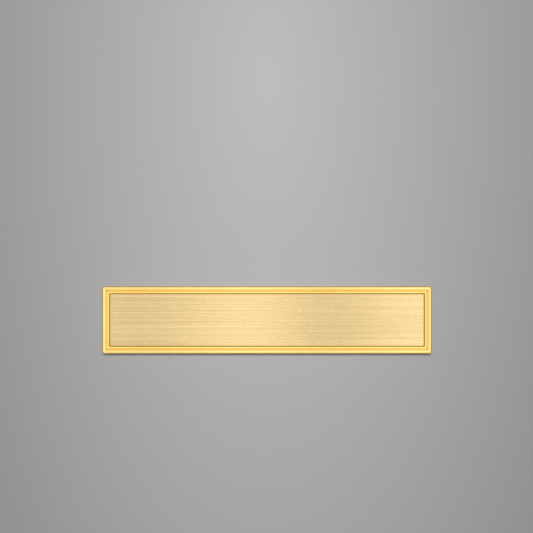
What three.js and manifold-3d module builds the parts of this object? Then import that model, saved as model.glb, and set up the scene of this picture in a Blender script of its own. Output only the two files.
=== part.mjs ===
// A bar paperweight for calligraphy. Four mitred brass mouldings frame a brushed brass face plate. A steel
// weight fills the inside, a base plate screwed to the mouldings' corner keys closes it, and a felt pad
// covers the screws. Millimetres, +Z up: the origin is the middle of the felt's underside, the length
// runs along X, and the brushed face looks up.

import * as THREE from 'three';
import { mergeVertices } from 'three/addons/utils/BufferGeometryUtils.js';
import Module from 'manifold-3d';

const wasm = await Module();
wasm.setup();

// Overall outline.
const LENGTH = 200;
const WIDTH = 41;
const CORNER_RADIUS = 0.6; // the upright outer edges, eased by polishing

// The layers, from the table up. SEAT is the room left between two layers that lie on each other.
const FELT_THICKNESS = 1.2;
const BASE_THICKNESS = 1.5;
const CORE_THICKNESS = 5.8;
const ADHESIVE_THICKNESS = 0.3;
const FACE_THICKNESS = 1.2;
const SEAT = 0.05;

// The moulding's beads, from the outer face inwards. The round-bottomed groove between them touches both.
const OUTER_BEAD_RADIUS = 1.4;
const GROOVE_RADIUS = 0.15;
const INNER_BEAD_RADIUS = 0.75;
const BEAD_DROP = 0.28; // the inner bead's crown lies this far below the outer one's
const GROOVE_ANGLE = THREE.MathUtils.degToRad(20); // where the outer bead turns into the groove
const FLANK_ANGLE = THREE.MathUtils.degToRad(55); // slope of the flank that drops to the face plate
const FLANK_HEIGHT = 0.8;
const LIP_THICKNESS = 0.35; // the lip's thin inner edge, over the face plate
const ARC_STEPS = 14;

// The moulding's hollow side.
const WALL = 3.7; // outer face to the rebate that the face plate and the weight lie in
const SKIRT = 1.3; // the thin rim round the base plate
const FOOT_EASE = 0.25; // takes the sharpness off the rim's outer edge
const FLANGE_THICKNESS = 1.1; // between the base plate and the corner keys
const CHANNEL_DEPTH = 2.2;
const PAD_PROUD = 0.6; // the felt stands this far below the mouldings
const MITRE_GAP = 0.05; // each mitre face stands back this far, which leaves the hairline at the corner

// Corner keys: flat L shapes with a gusset for the tapped hole.
const KEY_THICKNESS = 2;
const KEY_WIDTH = 4.6;
const KEY_LEG = 14.4; // from the key's own corner to the end of a leg
const KEY_GUSSET = 5;
const KEY_FIT = 0.1;

// Countersunk socket screws, all alike.
const SCREW_RADIUS = 1.25;
const SCREW_LENGTH = 5;
const SCREW_TIP = 0.3;
const HEAD_RADIUS = 2.3;
const HEAD_RIM = 0.15;
const HEAD_SUNK = 0.1; // the head lies this far inside the base plate's underside
const SOCKET_ACROSS_FLATS = 1.5;
const SOCKET_DEPTH = 0.8;
const SCREW_FIT = 0.15;
const SCREW_SPARE = 0.6; // room past the tip
const SCREW_TO_WALL = 2.7; // from a corner screw's axis to the moulding's inner wall
const CORE_SCREW_SPACING = 100;
const ROUND_STEPS = 32;

// Side clearances.
const REBATE_FIT = 0.15; // round the face plate, the weight and the base plate
const RELIEF_FIT = 0.3; // between the weight and the corner keys
const FELT_INSET = 0.5; // the felt stops this far inside the base plate's edge
const ADHESIVE_INSET = 1.5;
const SHEET_CORNER_RADIUS = 0.5;
const FELT_CORNER_RADIUS = 1.5;
const CUT_SPARE = 1; // cutters and envelopes reach this far past what they cut

// Heights that follow from the layers.
const BASE_BOTTOM = FELT_THICKNESS + SEAT;
const BASE_TOP = BASE_BOTTOM + BASE_THICKNESS;
const CORE_BOTTOM = BASE_TOP + SEAT;
const CORE_TOP = CORE_BOTTOM + CORE_THICKNESS;
const ADHESIVE_BOTTOM = CORE_TOP + SEAT;
const FACE_BOTTOM = ADHESIVE_BOTTOM + ADHESIVE_THICKNESS + SEAT;
const FACE_TOP = FACE_BOTTOM + FACE_THICKNESS;
const LIP_UNDERSIDE = FACE_TOP + SEAT;
const LIP_TOP = LIP_UNDERSIDE + LIP_THICKNESS;
const RAIL_BOTTOM = FELT_THICKNESS - PAD_PROUD;
const FLANK_TOP = LIP_TOP + FLANK_HEIGHT;
const INNER_BEAD_HEIGHT = FLANK_TOP - INNER_BEAD_RADIUS * Math.cos(FLANK_ANGLE); // its centre's
const CROWN = INNER_BEAD_HEIGHT + INNER_BEAD_RADIUS + BEAD_DROP;
const OUTER_BEAD_HEIGHT = CROWN - OUTER_BEAD_RADIUS;
const KEY_BOTTOM = CORE_BOTTOM + FLANGE_THICKNESS + KEY_FIT;
const KEY_TOP = KEY_BOTTOM + KEY_THICKNESS;
const SCREW_BOTTOM = BASE_BOTTOM + HEAD_SUNK;
const SCREW_TOP = SCREW_BOTTOM + SCREW_LENGTH;
const HOLE_TOP = SCREW_TOP + SCREW_SPARE;
const RELIEF_TOP = Math.max(KEY_TOP, SCREW_TOP) + RELIEF_FIT;

// Plan sizes that follow from the moulding.
const KEY_EDGE = WALL - CHANNEL_DEPTH + KEY_FIT;
const KEY_REACH = KEY_EDGE + KEY_LEG;
const CORNER_SCREW_INSET = WALL + SCREW_TO_WALL;
const INSIDE_LENGTH = LENGTH - 2 * (WALL + REBATE_FIT);
const INSIDE_WIDTH = WIDTH - 2 * (WALL + REBATE_FIT);
const BASE_LENGTH = LENGTH - 2 * (SKIRT + REBATE_FIT);
const BASE_WIDTH = WIDTH - 2 * (SKIRT + REBATE_FIT);

const FINISHES = {
  polishedBrass: { color: 0xf2c14e, roughness: 0.12, metalness: 1 },
  brushedBrass: { color: 0xe6c88a, roughness: 0.38, metalness: 1 },
  steel: { color: 0x9aa0a6, roughness: 0.4, metalness: 1 },
  platedSteel: { color: 0xc4c7ca, roughness: 0.3, metalness: 1 },
  adhesive: { color: 0xd8d4c8, roughness: 0.7, metalness: 0 },
  felt: { color: 0x1f2a24, roughness: 1, metalness: 0 },
};

// A three.js geometry as a solid that can be cut.
function solidOf(geometry) {
  const bare = geometry.clone();
  bare.deleteAttribute('normal');
  bare.deleteAttribute('uv');
  const merged = mergeVertices(bare);
  return new wasm.Manifold(new wasm.Mesh({
    numProp: 3,
    vertProperties: new Float32Array(merged.attributes.position.array),
    triVerts: new Uint32Array(merged.index.array),
  }));
}

function geometryOf(solid) {
  const mesh = solid.getMesh();
  const geometry = new THREE.BufferGeometry();
  geometry.setAttribute('position', new THREE.BufferAttribute(mesh.vertProperties, 3));
  geometry.setIndex(new THREE.BufferAttribute(mesh.triVerts, 1));
  geometry.computeVertexNormals();
  return geometry;
}

function cutFrom(geometry, cutters) {
  const cut = cutters.reduce((rest, cutter) => rest.subtract(solidOf(cutter)), solidOf(geometry));
  return geometryOf(cut);
}

function piece(name, geometry, finish, place = [0, 0, 0], turn = 0) {
  const mesh = new THREE.Mesh(geometry, new THREE.MeshStandardMaterial(FINISHES[finish]));
  mesh.name = name;
  mesh.position.set(...place);
  mesh.rotation.z = turn;
  return mesh;
}

// A flat plate with rounded corners, centred on the Z axis.
function plate(length, width, radius, bottom, thickness) {
  const [x, y] = [length / 2 - radius, width / 2 - radius];
  const outline = new THREE.Shape();
  outline.absarc(x, -y, radius, -Math.PI / 2, 0);
  outline.absarc(x, y, radius, 0, Math.PI / 2);
  outline.absarc(-x, y, radius, Math.PI / 2, Math.PI);
  outline.absarc(-x, -y, radius, Math.PI, 1.5 * Math.PI);
  const geometry = new THREE.ExtrudeGeometry(outline, {
    depth: thickness, bevelEnabled: false, curveSegments: ARC_STEPS / 2,
  });
  return geometry.translate(0, 0, bottom);
}

// The moulding's section: x is the distance in from the outer face, y is the height.
function mouldingSection() {
  const outerReach = OUTER_BEAD_RADIUS + GROOVE_RADIUS;
  const grooveIn = OUTER_BEAD_RADIUS + outerReach * Math.cos(GROOVE_ANGLE);
  const grooveHeight = OUTER_BEAD_HEIGHT + outerReach * Math.sin(GROOVE_ANGLE);
  const innerReach = INNER_BEAD_RADIUS + GROOVE_RADIUS;
  const meetAngle = Math.asin((grooveHeight - INNER_BEAD_HEIGHT) / innerReach);
  const innerIn = grooveIn + innerReach * Math.cos(meetAngle);
  const endAngle = Math.PI / 2 - FLANK_ANGLE;
  const flankIn = innerIn + INNER_BEAD_RADIUS * Math.cos(endAngle);
  const lipIn = flankIn + FLANK_HEIGHT / Math.tan(FLANK_ANGLE);

  const section = new THREE.Shape();
  section.moveTo(SKIRT, RAIL_BOTTOM);
  section.lineTo(FOOT_EASE, RAIL_BOTTOM);
  section.lineTo(0, RAIL_BOTTOM + FOOT_EASE);
  section.absarc(OUTER_BEAD_RADIUS, OUTER_BEAD_HEIGHT, OUTER_BEAD_RADIUS, Math.PI, GROOVE_ANGLE, true);
  section.absarc(
    grooveIn, grooveHeight, GROOVE_RADIUS, Math.PI + GROOVE_ANGLE, 2 * Math.PI - meetAngle, false,
  );
  section.absarc(innerIn, INNER_BEAD_HEIGHT, INNER_BEAD_RADIUS, Math.PI - meetAngle, endAngle, true);
  section.lineTo(lipIn, LIP_TOP);
  section.lineTo(lipIn, LIP_UNDERSIDE);
  section.lineTo(WALL, LIP_UNDERSIDE);
  section.lineTo(WALL, KEY_TOP + KEY_FIT);
  section.lineTo(WALL - CHANNEL_DEPTH, KEY_TOP + KEY_FIT);
  section.lineTo(WALL - CHANNEL_DEPTH, KEY_BOTTOM - KEY_FIT);
  section.lineTo(WALL, KEY_BOTTOM - KEY_FIT);
  section.lineTo(WALL, CORE_BOTTOM);
  section.lineTo(SKIRT, CORE_BOTTOM);
  return section;
}

// One length of moulding along X, with its outer face at y = -across / 2 and both ends mitred.
function moulding(length, across) {
  const geometry = new THREE.ExtrudeGeometry(mouldingSection(), {
    depth: 1, bevelEnabled: false, curveSegments: ARC_STEPS,
  });
  const points = geometry.attributes.position;
  for (let i = 0; i < points.count; i += 1) {
    const [inwards, height, atFarEnd] = [points.getX(i), points.getY(i), points.getZ(i) > 0.5];
    const end = length / 2 - inwards - MITRE_GAP;
    points.setXYZ(i, atFarEnd ? end : -end, inwards - across / 2, height);
  }
  const envelope = plate(length, across, CORNER_RADIUS, 0, CROWN + CUT_SPARE);
  return geometryOf(solidOf(geometry).intersect(solidOf(envelope)));
}

// A corner key's outline, measured from the paperweight's outer corner and made larger by grow.
function keyOutline(grow) {
  const [outer, inner, end] = [KEY_EDGE - grow, KEY_EDGE + KEY_WIDTH + grow, KEY_REACH + grow];
  const gusset = KEY_GUSSET + grow * Math.tan(Math.PI / 8);
  return new THREE.Shape([
    [outer, outer], [end, outer], [end, inner], [inner + gusset, inner],
    [inner, inner + gusset], [inner, end], [outer, end],
  ].map(([x, y]) => new THREE.Vector2(x, y)));
}

function keyBlock(grow, bottom, top) {
  const depth = top - bottom;
  const geometry = new THREE.ExtrudeGeometry(keyOutline(grow), { depth, bevelEnabled: false });
  return geometry.translate(0, 0, bottom);
}

// A turned shape round the Z axis from its half outline, given from the lower end up.
function turned(outline) {
  const profile = outline.map(([radius, height]) => new THREE.Vector2(radius, height));
  return new THREE.LatheGeometry(profile, ROUND_STEPS).rotateX(Math.PI / 2);
}

function screwHole() {
  const [mouth, bore] = [HEAD_RADIUS + SCREW_FIT, SCREW_RADIUS + SCREW_FIT];
  const coneTop = SCREW_BOTTOM + HEAD_RIM + mouth - bore;
  const below = BASE_BOTTOM - CUT_SPARE;
  return turned([
    [0, below], [mouth, below], [mouth, SCREW_BOTTOM + HEAD_RIM],
    [bore, coneTop], [bore, HOLE_TOP], [0, HOLE_TOP],
  ]);
}

const screwHoles = (screws) => screws.map((one) => screwHole().translate(one.x, one.y, 0));

function screw() {
  const neck = HEAD_RIM + HEAD_RADIUS - SCREW_RADIUS;
  const body = turned([
    [0, 0], [HEAD_RADIUS, 0], [HEAD_RADIUS, HEAD_RIM], [SCREW_RADIUS, neck],
    [SCREW_RADIUS, SCREW_LENGTH - SCREW_TIP], [SCREW_RADIUS - SCREW_TIP, SCREW_LENGTH], [0, SCREW_LENGTH],
  ]);
  const socketRadius = SOCKET_ACROSS_FLATS / Math.sqrt(3);
  const socket = new THREE.CylinderGeometry(socketRadius, socketRadius, 2 * SOCKET_DEPTH, 6);
  return cutFrom(body, [socket.rotateX(Math.PI / 2)]);
}

// The four corners, counterclockwise from the front left, each with its quarter turns.
const CORNERS = [
  { name: 'front_left', x: -1, y: -1, quarter: 0 },
  { name: 'front_right', x: 1, y: -1, quarter: 1 },
  { name: 'rear_right', x: 1, y: 1, quarter: 2 },
  { name: 'rear_left', x: -1, y: 1, quarter: 3 },
];
const cornerPlace = (corner) => [corner.x * LENGTH / 2, corner.y * WIDTH / 2, 0];

const SCREWS = [
  ...CORNERS.map((corner) => ({
    name: corner.name,
    x: corner.x * (LENGTH / 2 - CORNER_SCREW_INSET),
    y: corner.y * (WIDTH / 2 - CORNER_SCREW_INSET),
  })),
  { name: 'core_left', x: -CORE_SCREW_SPACING / 2, y: 0, inCore: true },
  { name: 'core_right', x: CORE_SCREW_SPACING / 2, y: 0, inCore: true },
];

function frameRails() {
  const [longRail, shortRail] = [moulding(LENGTH, WIDTH), moulding(WIDTH, LENGTH)];
  return [
    piece('front_rail', longRail, 'polishedBrass'),
    piece('rear_rail', longRail, 'polishedBrass', [0, 0, 0], Math.PI),
    piece('left_rail', shortRail, 'polishedBrass', [0, 0, 0], -Math.PI / 2),
    piece('right_rail', shortRail, 'polishedBrass', [0, 0, 0], Math.PI / 2),
  ];
}

function cornerKeys() {
  const hole = screwHole().translate(CORNER_SCREW_INSET, CORNER_SCREW_INSET, 0);
  const key = cutFrom(keyBlock(0, KEY_BOTTOM, KEY_TOP), [hole]);
  return CORNERS.map((corner) => piece(
    `corner_key_${corner.name}`, key, 'platedSteel', cornerPlace(corner), corner.quarter * Math.PI / 2,
  ));
}

function weightCore() {
  const bar = plate(INSIDE_LENGTH, INSIDE_WIDTH, SHEET_CORNER_RADIUS, CORE_BOTTOM, CORE_THICKNESS);
  const reliefs = CORNERS.map((corner) => keyBlock(RELIEF_FIT, CORE_BOTTOM - CUT_SPARE, RELIEF_TOP)
    .rotateZ(corner.quarter * Math.PI / 2)
    .translate(...cornerPlace(corner)));
  const holes = screwHoles(SCREWS.filter((one) => one.inCore));
  return piece('weight_core', cutFrom(bar, [...reliefs, ...holes]), 'steel');
}

function facePlate() {
  const sheet = plate(INSIDE_LENGTH, INSIDE_WIDTH, SHEET_CORNER_RADIUS, FACE_BOTTOM, FACE_THICKNESS);
  return piece('face_plate', sheet, 'brushedBrass');
}

function adhesiveSheet() {
  const [length, width] = [INSIDE_LENGTH - 2 * ADHESIVE_INSET, INSIDE_WIDTH - 2 * ADHESIVE_INSET];
  const sheet = plate(length, width, SHEET_CORNER_RADIUS, ADHESIVE_BOTTOM, ADHESIVE_THICKNESS);
  return piece('adhesive_sheet', sheet, 'adhesive');
}

function basePlate() {
  const sheet = plate(BASE_LENGTH, BASE_WIDTH, SHEET_CORNER_RADIUS, BASE_BOTTOM, BASE_THICKNESS);
  return piece('base_plate', cutFrom(sheet, screwHoles(SCREWS)), 'platedSteel');
}

function baseScrews() {
  const oneScrew = screw();
  return SCREWS.map((one) => piece(
    `base_screw_${one.name}`, oneScrew, 'steel', [one.x, one.y, SCREW_BOTTOM],
  ));
}

function feltPad() {
  const [length, width] = [BASE_LENGTH - 2 * FELT_INSET, BASE_WIDTH - 2 * FELT_INSET];
  return piece('felt_pad', plate(length, width, FELT_CORNER_RADIUS, 0, FELT_THICKNESS), 'felt');
}

const paperweight = new THREE.Group();
paperweight.add(
  ...frameRails(),
  ...cornerKeys(),
  facePlate(),
  adhesiveSheet(),
  weightCore(),
  basePlate(),
  ...baseScrews(),
  feltPad(),
);

export default paperweight;
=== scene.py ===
import math

import bmesh
import bpy
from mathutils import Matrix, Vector


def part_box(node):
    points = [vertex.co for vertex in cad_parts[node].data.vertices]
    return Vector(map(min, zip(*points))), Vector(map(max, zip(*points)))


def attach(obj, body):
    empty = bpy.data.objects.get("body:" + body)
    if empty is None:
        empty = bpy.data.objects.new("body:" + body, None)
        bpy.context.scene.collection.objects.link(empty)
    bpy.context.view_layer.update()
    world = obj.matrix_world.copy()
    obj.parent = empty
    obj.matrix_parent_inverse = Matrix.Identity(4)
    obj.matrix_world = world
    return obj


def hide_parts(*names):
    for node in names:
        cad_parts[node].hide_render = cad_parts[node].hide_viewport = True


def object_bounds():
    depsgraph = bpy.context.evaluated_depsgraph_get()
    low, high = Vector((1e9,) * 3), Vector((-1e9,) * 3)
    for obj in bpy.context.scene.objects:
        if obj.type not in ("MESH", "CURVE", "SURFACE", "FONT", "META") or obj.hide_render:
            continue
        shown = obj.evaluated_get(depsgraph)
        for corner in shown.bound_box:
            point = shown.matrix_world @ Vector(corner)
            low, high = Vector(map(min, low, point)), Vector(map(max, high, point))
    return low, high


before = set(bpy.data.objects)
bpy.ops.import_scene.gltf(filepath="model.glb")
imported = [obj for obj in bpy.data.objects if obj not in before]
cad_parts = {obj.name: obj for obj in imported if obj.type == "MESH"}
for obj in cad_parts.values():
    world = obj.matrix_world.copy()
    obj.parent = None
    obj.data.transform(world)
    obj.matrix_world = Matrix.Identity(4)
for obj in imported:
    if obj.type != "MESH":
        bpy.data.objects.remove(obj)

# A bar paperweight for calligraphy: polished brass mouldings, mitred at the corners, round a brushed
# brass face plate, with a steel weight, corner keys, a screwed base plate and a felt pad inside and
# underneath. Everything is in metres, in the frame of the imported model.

CAD_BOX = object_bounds()
MM = 0.001

# The moulding's beads, from the outer face inwards; the rest of its section comes from the frame.
OUTER_BEAD = 1.4 * MM
GROOVE = 0.15 * MM
INNER_BEAD = 0.75 * MM
GROOVE_ANGLE = math.radians(20)
FLANK_ANGLE = math.radians(55)
FLANK_HEIGHT = 0.8 * MM
LIP_THICKNESS = 0.35 * MM
WALL = 3.7 * MM
SKIRT = 1.3 * MM
CHANNEL_DEPTH = 2.2 * MM
FIT = 0.1 * MM
SEAT = 0.05 * MM
FOOT_EASE = 0.25 * MM
MITRE_GAP = 0.012 * MM
MITRE_EASE = 0.02 * MM
EDGE_EASE = 0.09 * MM
CORNER_RADIUS = 0.6 * MM

# The steps in each bead's arc and in the groove's.
OUTER_BEAD_STEPS = 44
GROOVE_STEPS = 24
INNER_BEAD_STEPS = 30

# How far back from a mitre the moulding's extra sections stand, and how many lengths it is cut into.
NEAR_MITRE = [step * MM for step in (0.1, 0.22, 0.36, 0.52, 0.7, 0.95, 1.4, 2.4)]
STATIONS = 40

# How far each piece's edges are eased, and the most of a short edge that an eased corner may take.
FACE_EASE = 0.12 * MM
STEEL_EASE = 0.1 * MM
WEIGHT_EASE = 0.25 * MM
FILM_EASE = 0.05 * MM
FELT_EASE = 0.2 * MM
LARGEST_SHARE = 0.45

# Edges that turn by more than SHARP stay crisp. Faces that turn by less than FLAT are one face.
SHARP = math.radians(40)
THREAD_SHARP = math.radians(30)
FLAT = math.radians(1)

# Points nearer than this are one point: in a CAD solid's loose triangles, and along a moulding.
LOOSE_JOIN = 1e-7
FINE_JOIN = 1e-8

# The screws that hold the base plate, in millimetres.
SCREW_PLACES = ("front_left", "front_right", "rear_right", "rear_left", "core_left", "core_right")
SHANK = 1.25
PITCH = 0.45
THREAD_DEPTH = 0.27
THREAD_RISE = 3.0  # share of its full depth that the thread gains in each millimetre past the neck
THREAD_WAIT = 0.4  # share taken off that, so that it begins a little past the neck
HEAD_RIM = 0.15
SCREW_TIP = 0.3
SOCKET_FLATS = 1.5
SOCKET_DEPTH = 0.8
BLANK_SIDES = 40
BLANK_RINGS = 100

# The loose fibres along the felt's cut edge: how many to a square metre, and their sizes.
FIBRE_DENSITY = 1.4e7
FIBRE_LENGTH = 0.45 * MM
FIBRE_RADIUS = 0.012 * MM
FIBRE_LIFT = 0.01 * MM
SHORTEST_FIBRE = 0.4  # as a share of the longest
FIBRE_LEAN = 0.7  # radians off the face's own direction
FIBRE_SPIN = 3.1  # radians about it

# The plate lies inside one square of its brushing layer, which has this many squares to a metre.
BRUSHING_SCALE = 5

# A pattern with no direction, and the grey values that nearly all of a noise lies between.
EVEN = (1, 1, 1)
NOISE_RANGE = (0.3, 0.7)


# ---------------------------------------------------------------- mesh helpers

def add_object(name, mesh):
    """A new object on a mesh, at the origin."""
    piece = bpy.data.objects.new(name, mesh)
    bpy.context.scene.collection.objects.link(piece)
    return piece


def finish_piece(piece, material, slot, *nodes):
    """Gives a piece its finish, stands it for its CAD nodes and lets it ride on the body."""
    piece.data.materials.clear()
    piece.data.materials.append(material)
    if nodes:
        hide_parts(*nodes)
    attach(piece, "root")


def settled(piece):
    """Takes what the piece's modifiers make as its own mesh, and clears the modifiers."""
    graph = bpy.context.evaluated_depsgraph_get()
    mesh = bpy.data.meshes.new_from_object(
        piece.evaluated_get(graph), preserve_all_data_layers=True, depsgraph=graph,
    )
    mesh.name = piece.name
    piece.modifiers.clear()
    piece.data = mesh
    return piece


def shaded(piece, angle=SHARP):
    """Smooths a piece between its sharp edges, and keeps its broad faces truly flat."""
    mesh = piece.data
    mesh.polygons.foreach_set("use_smooth", [True] * len(mesh.polygons))
    mesh.set_sharp_from_angle(angle=angle)
    weigh = piece.modifiers.new("flat_faces", "WEIGHTED_NORMAL")
    weigh.keep_sharp = True
    weigh.weight = 100
    return settled(piece)


def arc(centre, radius, start, end, steps):
    """Points along an arc in the section's plane, both ends included."""
    turn = [start + (end - start) * i / steps for i in range(steps + 1)]
    return [(centre[0] + radius * math.cos(a), centre[1] + radius * math.sin(a)) for a in turn]


def eased_corners(points, radius, steps=4):
    """Rounds every clear corner of a closed outline by radius, and leaves its curves alone."""
    rounded = []
    count = len(points)
    for i, corner in enumerate(points):
        here = Vector(corner)
        back = Vector(points[i - 1]) - here
        ahead = Vector(points[(i + 1) % count]) - here
        opening = back.angle(ahead)
        if math.pi - opening < SHARP / 2:
            rounded.append(corner)
            continue
        nearest = min(back.length, ahead.length)
        reach = min(radius / math.tan(opening / 2), nearest * LARGEST_SHARE)
        first = here + back.normalized() * reach
        last = here + ahead.normalized() * reach
        for k in range(steps + 1):
            t = k / steps
            point = first * (1 - t) ** 2 + here * 2 * t * (1 - t) + last * t ** 2
            rounded.append((point.x, point.y))
    return rounded


def inset_outline(points, amount):
    """A closed outline drawn in by amount; the outline runs with its solid side on the right."""
    moved = []
    count = len(points)
    for i, corner in enumerate(points):
        along = Vector(points[(i + 1) % count]) - Vector(points[i - 1])
        along.normalize()
        moved.append((corner[0] + along.y * amount, corner[1] - along.x * amount))
    return moved


# ---------------------------------------------------------------- the mouldings

def moulding_outline():
    """The moulding's section as (distance in from the outer face, height), solid side on the right."""
    rail_low, rail_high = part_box("front_rail")
    key_low, key_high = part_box("corner_key_front_left")
    core_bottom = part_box("weight_core")[0].z
    foot = rail_low.z
    crown = rail_high.z
    lip_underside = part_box("face_plate")[1].z + SEAT
    lip_top = lip_underside + LIP_THICKNESS
    inner_height = lip_top + FLANK_HEIGHT - INNER_BEAD * math.cos(FLANK_ANGLE)
    outer_height = crown - OUTER_BEAD
    outer_reach = OUTER_BEAD + GROOVE
    groove_in = OUTER_BEAD + outer_reach * math.cos(GROOVE_ANGLE)
    groove_height = outer_height + outer_reach * math.sin(GROOVE_ANGLE)
    inner_reach = INNER_BEAD + GROOVE
    meet = math.asin((groove_height - inner_height) / inner_reach)
    inner_in = groove_in + inner_reach * math.cos(meet)
    end = math.pi / 2 - FLANK_ANGLE
    flank_in = inner_in + INNER_BEAD * math.cos(end)
    lip_in = flank_in + FLANK_HEIGHT / math.tan(FLANK_ANGLE)

    outline = [(SKIRT, foot), (FOOT_EASE, foot), (0, foot + FOOT_EASE)]
    outline += arc((OUTER_BEAD, outer_height), OUTER_BEAD, math.pi, GROOVE_ANGLE, OUTER_BEAD_STEPS)
    outline += arc(
        (groove_in, groove_height), GROOVE, math.pi + GROOVE_ANGLE, 2 * math.pi - meet, GROOVE_STEPS,
    )[1:]
    outline += arc((inner_in, inner_height), INNER_BEAD, math.pi - meet, end, INNER_BEAD_STEPS)[1:]
    outline += [(lip_in, lip_top), (lip_in, lip_underside), (WALL, lip_underside)]
    outline += [(WALL, key_high.z + FIT), (WALL - CHANNEL_DEPTH, key_high.z + FIT)]
    outline += [(WALL - CHANNEL_DEPTH, key_low.z - FIT), (WALL, key_low.z - FIT)]
    outline += [(WALL, core_bottom), (SKIRT, core_bottom)]
    return eased_corners(outline, EDGE_EASE)


def inside_corner(inwards, along):
    """Draws a point near an upright corner in to the corner's rounding."""
    a, b = CORNER_RADIUS - inwards, CORNER_RADIUS - along
    reach = math.hypot(a, b)
    if a <= 0 or b <= 0 or reach <= CORNER_RADIUS:
        return inwards, along
    scale = CORNER_RADIUS / reach
    return CORNER_RADIUS - a * scale, CORNER_RADIUS - b * scale


def mitred_end(sections, side, length, across):
    """The sections by one mitre, from the mitre's own face inwards."""
    rings = []
    for section, back in sections:
        ring = []
        for inwards, height in section:
            u, d = inside_corner(inwards, max(inwards, 0) + MITRE_GAP + back)
            ring.append((side * (length / 2 - d), u - across / 2, height))
        rings.append(ring)
    return rings


def moulding_rings(length, across):
    """The section all along a moulding: close together by each mitre, evenly spaced between them."""
    outline = moulding_outline()
    near = [(inset_outline(outline, MITRE_EASE), 0.0), (outline, MITRE_EASE)]
    near += [(outline, MITRE_EASE + back) for back in NEAR_MITRE]
    reach = length / 2 - near[-1][1] - MITRE_GAP
    middle = []
    for k in range(1, STATIONS):
        share = 2 * k / STATIONS - 1
        middle.append([
            (share * (reach - inwards), inwards - across / 2, height) for inwards, height in outline
        ])
    return mitred_end(near, -1, length, across) + middle + mitred_end(near, 1, length, across)[::-1]


def moulding(name, length, across, turn):
    """One length of moulding: mitred, with its mitre edges just eased, turned about Z to its side."""
    rings = moulding_rings(length, across)
    count = len(rings[0])
    last = (len(rings) - 1) * count
    faces = []
    for start in range(0, last, count):
        for i in range(count):
            j = (i + 1) % count
            faces.append((start + i, start + j, start + count + j, start + count + i))
    faces.append(tuple(reversed(range(count))))
    faces.append(tuple(last + i for i in range(count)))
    cos, sin = math.cos(turn), math.sin(turn)
    placed = [(x * cos - y * sin, x * sin + y * cos, z) for ring in rings for x, y, z in ring]
    mesh = bpy.data.meshes.new(name)
    mesh.from_pydata(placed, [], faces)
    shell = bmesh.new()
    shell.from_mesh(mesh)
    bmesh.ops.remove_doubles(shell, verts=shell.verts, dist=FINE_JOIN)
    bmesh.ops.recalc_face_normals(shell, faces=shell.faces)
    shell.to_mesh(mesh)
    shell.free()
    return shaded(add_object(name, mesh))


# ---------------------------------------------------------------- plain pieces with eased edges

def eased_copy(node, name, width, segments=2):
    """A CAD node's own solid with its loose triangles joined and its edges eased."""
    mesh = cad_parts[node].data.copy()
    mesh.name = name
    shell = bmesh.new()
    shell.from_mesh(mesh)
    bmesh.ops.remove_doubles(shell, verts=shell.verts, dist=LOOSE_JOIN)
    bmesh.ops.dissolve_limit(shell, angle_limit=FLAT, verts=shell.verts, edges=shell.edges)
    sharp = [edge for edge in shell.edges if edge.calc_face_angle(0) > SHARP]
    bmesh.ops.bevel(
        shell, geom=sharp, offset=width, segments=segments, profile=0.5, affect="EDGES",
        clamp_overlap=True,
    )
    bmesh.ops.recalc_face_normals(shell, faces=shell.faces)
    shell.to_mesh(mesh)
    shell.free()
    return shaded(add_object(name, mesh))


# ---------------------------------------------------------------- nodes

def node(tree, kind, **settings):
    """A new node of a kind, with its settings."""
    made = tree.nodes.new(kind)
    for key, value in settings.items():
        setattr(made, key, value)
    return made


def joined(tree, kind, sockets, **settings):
    """A node whose inputs, by number or name, are linked to a socket or set to a plain value."""
    made = node(tree, kind, **settings)
    for key, value in sockets.items():
        if isinstance(value, bpy.types.NodeSocket):
            tree.links.new(value, made.inputs[key])
        else:
            made.inputs[key].default_value = value
    return made


def maths(tree, operation, *values):
    """One step of arithmetic on up to three values, each a socket or a plain number."""
    return joined(tree, "ShaderNodeMath", dict(enumerate(values)), operation=operation).outputs[0]


# ---------------------------------------------------------------- node trees for what repeats

def new_tree(title, **inputs):
    """A Geometry Nodes tree that takes a mesh and the named inputs, given as name=kind of socket."""
    tree = bpy.data.node_groups.new(title, "GeometryNodeTree")
    tree.interface.new_socket("Geometry", in_out="INPUT", socket_type="NodeSocketGeometry")
    for name, kind in inputs.items():
        tree.interface.new_socket(name, in_out="INPUT", socket_type="NodeSocket" + kind)
    tree.interface.new_socket("Geometry", in_out="OUTPUT", socket_type="NodeSocketGeometry")
    return tree, tree.nodes.new("NodeGroupInput").outputs, tree.nodes.new("NodeGroupOutput").inputs


def drawn_value(random_value):
    """What a Random Value node draws, among its outputs for each kind of value."""
    return next(socket for socket in random_value.outputs if socket.enabled)


def grown(piece, tree, **values):
    """Runs a tree on a piece with the values given for its inputs, and keeps the mesh that it makes."""
    modifier = piece.modifiers.new(tree.name, "NODES")
    modifier.node_group = tree
    for item in tree.interface.items_tree:
        if item.in_out == "INPUT" and item.name in values:
            modifier[item.identifier] = values[item.name]
    return settled(piece)


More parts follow.
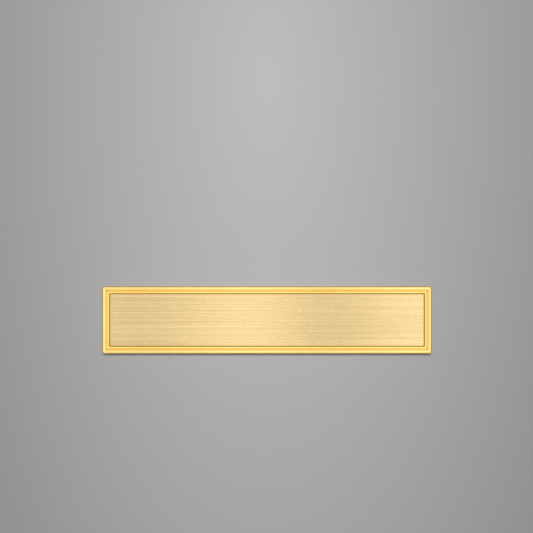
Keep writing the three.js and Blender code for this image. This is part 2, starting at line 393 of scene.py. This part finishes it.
def screw_tree():
    """A countersunk socket screw with a cut thread, head down, on every point. Sizes in millimetres."""
    tree, given, result = new_tree(
        "countersunk_screw", Length="Float", Shank="Float", Pitch="Float", Thread="Float", Head="Float",
        Rim="Float", Tip="Float", Flats="Float", Socket="Float", Seed="Int", Finish="Material",
    )
    blank = joined(tree, "GeometryNodeMeshCylinder", {
        "Vertices": BLANK_SIDES, "Side Segments": BLANK_RINGS, "Radius": 1.0, "Depth": given["Length"],
    })
    spot = node(tree, "GeometryNodeInputPosition").outputs[0]
    part = joined(tree, "ShaderNodeSeparateXYZ", {0: spot}).outputs
    height = maths(tree, "ADD", part["Z"], maths(tree, "MULTIPLY", given["Length"], 0.5))

    # The thread's depth rises and falls once in each pitch, and fades in past the head's neck.
    turn = maths(tree, "ARCTAN2", part["Y"], part["X"])
    turns = maths(tree, "DIVIDE", turn, math.tau)
    winding = maths(tree, "SUBTRACT", maths(tree, "DIVIDE", height, given["Pitch"]), turns)
    ridge = maths(tree, "PINGPONG", winding, 0.5)
    valley = maths(tree, "SUBTRACT", 1.0, maths(tree, "MULTIPLY", ridge, 2.0))
    neck = maths(tree, "SUBTRACT", given["Head"], maths(tree, "SUBTRACT", given["Shank"], given["Rim"]))
    begun = joined(tree, "ShaderNodeMath", {
        0: maths(tree, "SUBTRACT", height, neck), 1: THREAD_RISE, 2: -THREAD_WAIT,
    }, operation="MULTIPLY_ADD", use_clamp=True).outputs[0]
    cut = maths(tree, "MULTIPLY", maths(tree, "MULTIPLY", valley, given["Thread"]), begun)

    # The radius at each height: the head's rim and cone, the shank, and the bevelled tip.
    cone = maths(tree, "SUBTRACT", maths(tree, "ADD", given["Head"], given["Rim"]), height)
    body = maths(tree, "MINIMUM", given["Head"], maths(tree, "MAXIMUM", cone, given["Shank"]))
    tip_starts = maths(tree, "SUBTRACT", given["Length"], given["Tip"])
    end = maths(tree, "SUBTRACT", maths(tree, "ADD", given["Shank"], tip_starts), height)
    radius = maths(tree, "SUBTRACT", maths(tree, "MINIMUM", body, end), cut)
    shaped = joined(tree, "ShaderNodeCombineXYZ", {
        "X": maths(tree, "MULTIPLY", part["X"], radius),
        "Y": maths(tree, "MULTIPLY", part["Y"], radius),
        "Z": height,
    }).outputs[0]
    turned = joined(tree, "GeometryNodeSetPosition", {
        "Geometry": blank.outputs["Mesh"], "Position": shaped,
    }).outputs[0]

    # The hexagonal socket, and a screw on each point with its own turn about Z.
    key = joined(tree, "GeometryNodeMeshCylinder", {
        "Vertices": 6, "Radius": maths(tree, "DIVIDE", given["Flats"], math.sqrt(3)),
        "Depth": maths(tree, "MULTIPLY", given["Socket"], 2.0),
    })
    cutting = joined(tree, "GeometryNodeMeshBoolean", {
        "Mesh 1": turned, "Mesh 2": key.outputs["Mesh"],
    }, operation="DIFFERENCE", solver="EXACT")
    spin = joined(tree, "FunctionNodeRandomValue", {
        "Max": math.tau, "Seed": given["Seed"],
    }, data_type="FLOAT")
    angle = joined(tree, "ShaderNodeCombineXYZ", {"Z": drawn_value(spin)}).outputs[0]
    placed = joined(tree, "GeometryNodeInstanceOnPoints", {
        "Points": given["Geometry"], "Instance": cutting.outputs["Mesh"],
        "Rotation": angle, "Scale": (MM, MM, MM),
    })
    real = joined(tree, "GeometryNodeRealizeInstances", {"Geometry": placed.outputs[0]})
    finished = joined(tree, "GeometryNodeSetMaterial", {
        "Geometry": real.outputs[0], "Material": given["Finish"],
    })
    tree.links.new(finished.outputs[0], result[0])
    return tree


def fibre_tree():
    """Short curved fibres that stand out of every face, kept between two heights. Sizes in metres."""
    tree, given, result = new_tree(
        "felt_fibres", Density="Float", Length="Float", Thickness="Float", Lowest="Float",
        Highest="Float", Seed="Int", Finish="Material",
    )
    scatter = joined(tree, "GeometryNodeDistributePointsOnFaces", {
        "Mesh": given["Geometry"], "Density": given["Density"], "Seed": given["Seed"],
    })

    # One bent hair of length 1, whose root lies just under the surface.
    bent = joined(tree, "GeometryNodeCurveQuadraticBezier", {
        "Resolution": 4, "Start": (0, 0, -0.1), "Middle": (0, 0.05, 0.6), "End": (0.35, 0, 0.9),
    })
    girth = joined(tree, "GeometryNodeCurvePrimitiveCircle", {
        "Resolution": 3, "Radius": maths(tree, "DIVIDE", given["Thickness"], given["Length"]),
    })
    hair = joined(tree, "GeometryNodeCurveToMesh", {
        "Curve": bent.outputs[0], "Profile Curve": girth.outputs[0], "Fill Caps": True,
    })

    # Each hair leans its own way and has its own length.
    swing = joined(tree, "FunctionNodeRandomValue", {
        "Min": (-FIBRE_LEAN, -FIBRE_LEAN, -FIBRE_SPIN), "Max": (FIBRE_LEAN, FIBRE_LEAN, FIBRE_SPIN),
        "Seed": given["Seed"],
    }, data_type="FLOAT_VECTOR")
    size = joined(tree, "FunctionNodeRandomValue", {
        "Min": SHORTEST_FIBRE, "Max": 1.0, "Seed": given["Seed"],
    }, data_type="FLOAT")
    outward = joined(tree, "FunctionNodeAlignRotationToVector", {
        "Vector": scatter.outputs["Normal"],
    }, axis="Z")
    sway = joined(tree, "FunctionNodeEulerToRotation", {0: drawn_value(swing)})
    leaning = joined(tree, "FunctionNodeRotateRotation", {
        0: outward.outputs[0], 1: sway.outputs[0],
    }, rotation_space="LOCAL")
    placed = joined(tree, "GeometryNodeInstanceOnPoints", {
        "Points": scatter.outputs["Points"], "Instance": hair.outputs[0], "Rotation": leaning.outputs[0],
        "Scale": maths(tree, "MULTIPLY", drawn_value(size), given["Length"]),
    })
    real = joined(tree, "GeometryNodeRealizeInstances", {"Geometry": placed.outputs[0]})

    # What would reach past the felt's two faces is pressed flat to them.
    spot = node(tree, "GeometryNodeInputPosition").outputs[0]
    part = joined(tree, "ShaderNodeSeparateXYZ", {0: spot}).outputs
    level = maths(tree, "MINIMUM", maths(tree, "MAXIMUM", part["Z"], given["Lowest"]), given["Highest"])
    pressed = joined(tree, "ShaderNodeCombineXYZ", {
        "X": part["X"], "Y": part["Y"], "Z": level,
    }).outputs[0]
    kept = joined(tree, "GeometryNodeSetPosition", {"Geometry": real.outputs[0], "Position": pressed})
    finished = joined(tree, "GeometryNodeSetMaterial", {
        "Geometry": kept.outputs[0], "Material": given["Finish"],
    })
    tree.links.new(finished.outputs[0], result[0])
    return tree


# ---------------------------------------------------------------- materials

def new_material(name):
    """A material with its node tree and its main shader."""
    material = bpy.data.materials.new(name)
    material.use_nodes = True
    tree = material.node_tree
    shader = tree.nodes["Principled BSDF"]
    return material, tree, shader


def stretched_noise(tree, stretch, scale, detail, roughness=0.5):
    """Noise in object coordinates, drawn out by the three factors of stretch."""
    place = node(tree, "ShaderNodeTexCoord")
    mapping = node(tree, "ShaderNodeMapping")
    mapping.inputs["Scale"].default_value = stretch
    noise = node(tree, "ShaderNodeTexNoise")
    noise.inputs["Scale"].default_value = scale
    noise.inputs["Detail"].default_value = detail
    noise.inputs["Roughness"].default_value = roughness
    tree.links.new(place.outputs["Object"], mapping.inputs["Vector"])
    tree.links.new(mapping.outputs["Vector"], noise.inputs["Vector"])
    return noise.outputs["Fac"]


def ramp(tree, value, low, high, start=0.0, end=1.0):
    """Turns a grey value into a colour between low and high."""
    made = node(tree, "ShaderNodeValToRGB")
    made.color_ramp.elements[0].position = start
    made.color_ramp.elements[0].color = (*low, 1)
    made.color_ramp.elements[1].position = end
    made.color_ramp.elements[1].color = (*high, 1)
    tree.links.new(value, made.inputs["Fac"])
    return made.outputs["Color"]


def span(tree, value, low, high, start=0.0, end=1.0):
    """Maps a grey value onto the range from low to high."""
    made = node(tree, "ShaderNodeMapRange")
    made.inputs["From Min"].default_value = start
    made.inputs["From Max"].default_value = end
    made.inputs["To Min"].default_value = low
    made.inputs["To Max"].default_value = high
    tree.links.new(value, made.inputs["Value"])
    return made.outputs["Result"]


def bump(tree, shader, height, distance, strength):
    """Roughens a finish by a grey height, which stands for up to distance."""
    made = node(tree, "ShaderNodeBump")
    made.inputs["Distance"].default_value = distance
    made.inputs["Strength"].default_value = strength
    tree.links.new(height, made.inputs["Height"])
    tree.links.new(made.outputs["Normal"], shader.inputs["Normal"])


def add(tree, first, second, share):
    """first + second * share."""
    made = node(tree, "ShaderNodeMath", operation="MULTIPLY_ADD")
    tree.links.new(second, made.inputs[0])
    made.inputs[1].default_value = share
    tree.links.new(first, made.inputs[2])
    return made.outputs["Value"]


def polished_brass():
    """Buffed brass, with the faintest cloud in its colour and its polish."""
    material, tree, shader = new_material("polished_brass")
    shader.inputs["Metallic"].default_value = 1.0
    cloud = stretched_noise(tree, EVEN, scale=40, detail=3)
    colour = ramp(tree, cloud, (1.0, 0.71, 0.24), (1.0, 0.73, 0.26), *NOISE_RANGE)
    tree.links.new(colour, shader.inputs["Base Color"])
    tree.links.new(span(tree, cloud, 0.11, 0.14, *NOISE_RANGE), shader.inputs["Roughness"])
    return material


def brushed_brass():
    """Brass brushed along its length: long streaks, fine hairs and grain, and a highlight across them."""
    material, tree, shader = new_material("brushed_brass")
    shader.inputs["Metallic"].default_value = 1.0
    shader.inputs["Anisotropic"].default_value = 0.97
    hairs = stretched_noise(tree, (120, 7000, 1), scale=1, detail=2)
    streaks = stretched_noise(tree, (7, 1500, 1), scale=1, detail=1)
    grain = stretched_noise(tree, EVEN, scale=2300, detail=0)
    tone = add(tree, add(tree, grain, streaks, 1.5), hairs, 0.25)
    even = span(tree, tone, 0.0, 1.0, 0.85, 1.9)
    colour = ramp(tree, even, (0.69, 0.52, 0.235), (0.97, 0.73, 0.365))
    tree.links.new(colour, shader.inputs["Base Color"])
    tree.links.new(span(tree, hairs, 0.17, 0.23, *NOISE_RANGE), shader.inputs["Roughness"])
    tangent = node(tree, "ShaderNodeTangent", direction_type="UV_MAP", uv_map="brushing")
    tree.links.new(tangent.outputs["Tangent"], shader.inputs["Tangent"])
    return material


def plated_steel():
    """Zinc plating, clouded like a thin bright coat."""
    material, tree, shader = new_material("plated_steel")
    shader.inputs["Metallic"].default_value = 1.0
    cloud = stretched_noise(tree, EVEN, scale=350, detail=4)
    colour = ramp(tree, cloud, (0.52, 0.53, 0.54), (0.72, 0.73, 0.73), *NOISE_RANGE)
    tree.links.new(colour, shader.inputs["Base Color"])
    tree.links.new(span(tree, cloud, 0.25, 0.42, *NOISE_RANGE), shader.inputs["Roughness"])
    bump(tree, shader, cloud, 0.01 * MM, 0.3)
    return material


def bar_steel():
    """Cold drawn bar, with its drawing lines along X."""
    material, tree, shader = new_material("bar_steel")
    shader.inputs["Metallic"].default_value = 1.0
    drawn = stretched_noise(tree, (40, 2500, 2500), scale=1, detail=3)
    colour = ramp(tree, drawn, (0.30, 0.31, 0.33), (0.50, 0.51, 0.53), *NOISE_RANGE)
    tree.links.new(colour, shader.inputs["Base Color"])
    tree.links.new(span(tree, drawn, 0.32, 0.5, *NOISE_RANGE), shader.inputs["Roughness"])
    bump(tree, shader, drawn, 0.01 * MM, 0.4)
    return material


def screw_steel():
    """Plain steel, as it comes from the screw lathe."""
    material, tree, shader = new_material("screw_steel")
    shader.inputs["Metallic"].default_value = 1.0
    cloud = stretched_noise(tree, EVEN, scale=1500, detail=3)
    colour = ramp(tree, cloud, (0.40, 0.40, 0.41), (0.60, 0.60, 0.61), *NOISE_RANGE)
    tree.links.new(colour, shader.inputs["Base Color"])
    tree.links.new(span(tree, cloud, 0.28, 0.4, *NOISE_RANGE), shader.inputs["Roughness"])
    return material


def adhesive_film():
    """A matt cream film of adhesive."""
    material, tree, shader = new_material("adhesive_film")
    speckle = stretched_noise(tree, EVEN, scale=1200, detail=4)
    colour = ramp(tree, speckle, (0.70, 0.67, 0.57), (0.84, 0.81, 0.73), *NOISE_RANGE)
    tree.links.new(colour, shader.inputs["Base Color"])
    tree.links.new(span(tree, speckle, 0.55, 0.8, *NOISE_RANGE), shader.inputs["Roughness"])
    bump(tree, shader, speckle, 0.02 * MM, 0.4)
    return material


def pressed_felt():
    """Dark green wool felt, pressed flat, with clumps and short fibres in its surface."""
    material, tree, shader = new_material("pressed_felt")
    shader.inputs["Sheen Weight"].default_value = 0.35
    shader.inputs["Sheen Roughness"].default_value = 0.6
    shader.inputs["Roughness"].default_value = 0.95
    clump = stretched_noise(tree, EVEN, scale=500, detail=5, roughness=0.7)
    fibre = stretched_noise(tree, (1, 5, 1), scale=1800, detail=3, roughness=0.6)
    both = add(tree, clump, fibre, 0.7)
    even = span(tree, both, 0.0, 1.0, 0.6, 1.1)
    colour = ramp(tree, even, (0.012, 0.020, 0.016), (0.055, 0.075, 0.062))
    tree.links.new(colour, shader.inputs["Base Color"])
    bump(tree, shader, both, 0.12 * MM, 0.8)
    return material


# ---------------------------------------------------------------- the pieces

def make_rails(finish):
    """The four lengths of moulding, each turned from the front to its own side."""
    low, high = CAD_BOX
    length, width = high.x - low.x, high.y - low.y
    for name, along, across, turn in (
        ("front_rail", length, width, 0),
        ("rear_rail", length, width, math.pi),
        ("left_rail", width, length, -math.pi / 2),
        ("right_rail", width, length, math.pi / 2),
    ):
        rail = moulding(name + "_moulding", along, across, turn)
        finish_piece(rail, finish, "polished_brass", name)


def make_face_plate(finish):
    """The brushed plate, with a layer whose first axis runs across the brushing."""
    plate = eased_copy("face_plate", "brushed_face_plate", FACE_EASE, 3)
    layer = plate.data.uv_layers.new(name="brushing")
    for loop in plate.data.loops:
        spot = plate.data.vertices[loop.vertex_index].co
        layer.data[loop.index].uv = (spot.y * BRUSHING_SCALE + 0.5, spot.x * BRUSHING_SCALE + 0.5)
    finish_piece(plate, finish, "brushed_brass", "face_plate")


def make_inner_pieces():
    """The corner keys, the base plate, the weight and the adhesive sheet."""
    zinc = plated_steel()
    for corner in ("front_left", "front_right", "rear_right", "rear_left"):
        key = eased_copy("corner_key_" + corner, "steel_key_" + corner, STEEL_EASE)
        finish_piece(key, zinc, "plated_steel", "corner_key_" + corner)
    base = eased_copy("base_plate", "steel_base_plate", STEEL_EASE)
    finish_piece(base, zinc, "plated_steel", "base_plate")
    weight = eased_copy("weight_core", "steel_weight", WEIGHT_EASE)
    finish_piece(weight, bar_steel(), "bar_steel", "weight_core")
    film = eased_copy("adhesive_sheet", "adhesive_film", FILM_EASE, 1)
    finish_piece(film, adhesive_film(), "adhesive", "adhesive_sheet")


def make_screws():
    """The six screws, each standing where its CAD node stands."""
    nodes = ["base_screw_" + place for place in SCREW_PLACES]
    boxes = [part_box(name) for name in nodes]
    spots = [((low.x + high.x) / 2, (low.y + high.y) / 2, low.z) for low, high in boxes]
    mesh = bpy.data.meshes.new("base_screws")
    mesh.from_pydata(spots, [], [])
    steel = screw_steel()
    low, high = boxes[0]
    screws = grown(
        add_object("base_screws", mesh), screw_tree(), Length=(high.z - low.z) / MM, Shank=SHANK,
        Pitch=PITCH, Thread=THREAD_DEPTH, Head=(high.x - low.x) / 2 / MM, Rim=HEAD_RIM, Tip=SCREW_TIP,
        Flats=SOCKET_FLATS, Socket=SOCKET_DEPTH, Seed=7, Finish=steel,
    )
    finish_piece(shaded(screws, THREAD_SHARP), steel, "screw_steel", *nodes)


def make_felt():
    """The felt sheet, and the loose fibres along its cut edge."""
    low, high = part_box("felt_pad")
    felt = eased_copy("felt_pad", "felt_sheet", FELT_EASE, 3)
    wool = pressed_felt()
    finish_piece(felt, wool, "felt", "felt_pad")

    edge = bmesh.new()
    edge.from_mesh(felt.data)
    broad = [face for face in edge.faces if abs(face.normal.z) > 0.5]
    bmesh.ops.delete(edge, geom=broad, context="FACES")
    mesh = bpy.data.meshes.new("felt_cut_edge")
    edge.to_mesh(mesh)
    edge.free()
    fibres = grown(
        add_object("felt_cut_edge", mesh), fibre_tree(), Density=FIBRE_DENSITY, Length=FIBRE_LENGTH,
        Thickness=FIBRE_RADIUS, Lowest=low.z + FIBRE_LIFT, Highest=high.z, Seed=3, Finish=wool,
    )
    finish_piece(fibres, wool, "felt")


# ---------------------------------------------------------------- studio

# The tent's tone by the height of the direction (0 at the floor, 1 overhead).
TENT_BY_HEIGHT = [
    (0.0, 0.8), (0.17, 0.75), (0.54, 0.75), (0.75, 1.4), (0.93, 1.45), (0.985, 1.05), (1.0, 0.98),
]
# Dark cards that stand low at the tent's four sides: (height of the direction, share of the card).
CARDS_BY_HEIGHT = [(0.17, 0.0), (0.24, 1.0), (0.4, 1.0), (0.52, 0.0)]
CARD_DARKNESS = 0.66
# Bands across the top of the tent: (sideways lean of the direction, tone).
TENT_BANDS = [
    (-0.25, 1.0), (-0.13, 0.92), (-0.091, 0.75), (-0.005, 1.22), (0.039, 0.7), (0.102, 1.14), (0.25, 1.0),
]
BAND_REACH = 0.3

# The bands fade in between these heights of the direction.
BANDS_BEGIN = 0.6
BANDS_FULL = 0.85
# The cards end between these skews: 0 is straight out from a side, 1 is towards a corner.
CARDS_WHOLE = 0.35
CARDS_GONE = 0.6
# The plain backdrop's tones from the floor up, and the height at which it is palest.
BACKDROP_LOW = 0.15
BACKDROP_HIGH = 0.35
BACKDROP_TOP = 0.3

# The two lamps: a soft box high above the piece, and even light from overhead.
KEY_PLACE = (0, 0.112, 1.5)
KEY_SIZE = (0.24, 0.1)
KEY_POWER = 8.2
OVERHEAD_STRENGTH = 1.3
OVERHEAD_SPREAD = math.radians(17)
OVERHEAD_TILT = math.radians(-5)

# The paper's half width, and the place, spread and tones of the pool of light painted on it: painted
# paler in the middle and darker towards the edge.
FLOOR_REACH = 3
PAINTED_POOL_PLACE = (0, -0.33, 0)
PAINTED_POOL_SPREAD = (5, 2.2, 1)
PAPER_EDGE = (0.38, 0.38, 0.38)
PAINTED_POOL_MIDDLE = (0.66, 0.66, 0.66)

# The camera's height above the face, and the width that it takes in there.
SENSOR_WIDTH = 36
CAMERA_HEIGHT = 0.9
CAMERA_FIELD = 0.3229
CAMERA_SHIFT = 0.1004
CAMERA_ASIDE = -0.0003


def hang_light(name, data):
    """Hangs a light that shines on the floor and the felt and doesn't show in the brass."""
    light = bpy.data.objects.new(name, data)
    light.visible_glossy = False
    bpy.context.scene.collection.objects.link(light)
    return light


def key_light():
    """A soft box nearly overhead, a little behind the piece."""
    data = bpy.data.lights.new("key", "AREA")
    data.shape = "RECTANGLE"
    data.size, data.size_y = KEY_SIZE
    data.energy = KEY_POWER
    light = hang_light("key", data)
    light.location = KEY_PLACE
    light.rotation_euler = (-Vector(KEY_PLACE)).to_track_quat("-Z", "Y").to_euler()


def overhead_light():
    """Even soft light from above, the same over the whole floor."""
    data = bpy.data.lights.new("soft_overhead", "SUN")
    data.energy = OVERHEAD_STRENGTH
    data.angle = OVERHEAD_SPREAD
    hang_light("soft_overhead", data).rotation_euler = (OVERHEAD_TILT, 0, 0)


def graded(tree, value, stops):
    """Turns a value into a tone by smooth stops of (position, tone), given in order."""
    made = node(tree, "ShaderNodeValToRGB")
    band = made.color_ramp
    band.interpolation = "EASE"
    band.elements.remove(band.elements[1])
    position, tone = stops[0]
    band.elements[0].position = position
    band.elements[0].color = (tone, tone, tone, 1)
    for position, tone in stops[1:]:
        band.elements.new(position).color = (tone, tone, tone, 1)
    tree.links.new(value, made.inputs["Fac"])
    return made.outputs["Color"]


def tent_roof(tree, part):
    """The tent's own tone by height, with soft bands across its top."""
    dome = graded(tree, part["Z"], TENT_BY_HEIGHT)
    lean = maths(tree, "DIVIDE", part["X"], part["Z"])
    stops = [((at + BAND_REACH) / (2 * BAND_REACH), tone) for at, tone in TENT_BANDS]
    bands = graded(tree, span(tree, lean, 0.0, 1.0, -BAND_REACH, BAND_REACH), stops)
    overhead = span(tree, part["Z"], 0.0, 1.0, BANDS_BEGIN, BANDS_FULL)
    stripe = maths(tree, "SUBTRACT", bands, 1.0)
    return maths(tree, "MULTIPLY", dome, maths(tree, "MULTIPLY_ADD", stripe, overhead, 1.0))


def beside_cards(tree, part):
    """The share of light left by the dark cards, which stand low at the tent's four sides."""
    cards = graded(tree, part["Z"], CARDS_BY_HEIGHT)
    along = maths(tree, "ABSOLUTE", part["X"])
    across = maths(tree, "ABSOLUTE", part["Y"])
    nearer = maths(tree, "MINIMUM", along, across)
    skew = maths(tree, "DIVIDE", nearer, maths(tree, "MAXIMUM", along, across))
    card = maths(tree, "MULTIPLY", cards, span(tree, skew, 1.0, 0.0, CARDS_WHOLE, CARDS_GONE))
    return maths(tree, "SUBTRACT", 1.0, maths(tree, "MULTIPLY", card, CARD_DARKNESS))


def studio_world():
    """A light tent: bright at its sides, a little dimmer overhead, with soft bands across its top."""
    world = bpy.data.worlds.new("studio")
    world.use_nodes = True
    tree = world.node_tree
    place = node(tree, "ShaderNodeTexCoord")
    part = joined(tree, "ShaderNodeSeparateXYZ", {0: place.outputs["Generated"]}).outputs
    tent = maths(tree, "MULTIPLY", tent_roof(tree, part), beside_cards(tree, part))

    # The floor takes no colour from the gold, and a low view sees plain dim paper behind the piece.
    path = node(tree, "ShaderNodeLightPath").outputs
    direct = maths(tree, "LESS_THAN", path["Diffuse Depth"], 0.5)
    seen = path["Is Camera Ray"]
    unseen = maths(tree, "SUBTRACT", 1.0, seen)
    shone = maths(tree, "MULTIPLY", maths(tree, "MULTIPLY", tent, direct), unseen)
    plain = span(tree, part["Z"], BACKDROP_LOW, BACKDROP_HIGH, 0.0, BACKDROP_TOP)
    backdrop = maths(tree, "MULTIPLY", plain, seen)
    shine = tree.nodes["Background"]
    shine.inputs["Color"].default_value = (1, 1, 1, 1)
    tree.links.new(maths(tree, "ADD", shone, backdrop), shine.inputs["Strength"])
    bpy.context.scene.world = world
    world.cycles_visibility.diffuse = False


def make_studio():
    """The light tent, its two lamps, and the paper that the piece lies on."""
    bpy.context.scene.view_settings.view_transform = "Standard"
    studio_world()
    key_light()
    overhead_light()
    floor = bpy.data.meshes.new("floor")
    corners = ((-1, -1), (1, -1), (1, 1), (-1, 1))
    floor.from_pydata([(x * FLOOR_REACH, y * FLOOR_REACH, 0) for x, y in corners], [], [(0, 1, 2, 3)])
    stage = add_object("studio_floor", floor)
    # The paper's colour carries a painted pool of light.
    floor.materials.append(paper_with_painted_light_pool())


def paper_with_painted_light_pool():
    """Pale backdrop paper with a painted pool of light: its colour is painted paler in the middle and
    darker away from it.
    """
    material, tree, shader = new_material("paper_with_painted_light_pool")
    shader.inputs["Roughness"].default_value = 0.9
    shader.inputs["Specular IOR Level"].default_value = 0.0
    place = node(tree, "ShaderNodeTexCoord")
    mapping = node(tree, "ShaderNodeMapping")
    mapping.inputs["Location"].default_value = PAINTED_POOL_PLACE
    mapping.inputs["Scale"].default_value = PAINTED_POOL_SPREAD
    # The painted pool of light: a round fade from the pale middle tone out to the darker edge tone.
    middle = node(tree, "ShaderNodeTexGradient", gradient_type="SPHERICAL")
    tree.links.new(place.outputs["Object"], mapping.inputs["Vector"])
    tree.links.new(mapping.outputs["Vector"], middle.inputs["Vector"])
    tones = ramp(tree, middle.outputs["Fac"], PAPER_EDGE, PAINTED_POOL_MIDDLE)
    tree.links.new(tones, shader.inputs["Base Color"])
    return material


def make_camera():
    """Looks straight down at the face, from well above it."""
    data = bpy.data.cameras.new("camera")
    data.sensor_width = SENSOR_WIDTH
    data.lens = data.sensor_width * CAMERA_HEIGHT / CAMERA_FIELD
    data.shift_y = CAMERA_SHIFT
    camera = bpy.data.objects.new("camera", data)
    camera.location = (CAMERA_ASIDE, 0, CAD_BOX[1].z + CAMERA_HEIGHT)
    bpy.context.scene.collection.objects.link(camera)
    bpy.context.scene.camera = camera


make_camera()
make_studio()
make_rails(polished_brass())
make_face_plate(brushed_brass())
make_inner_pieces()
make_screws()
make_felt()
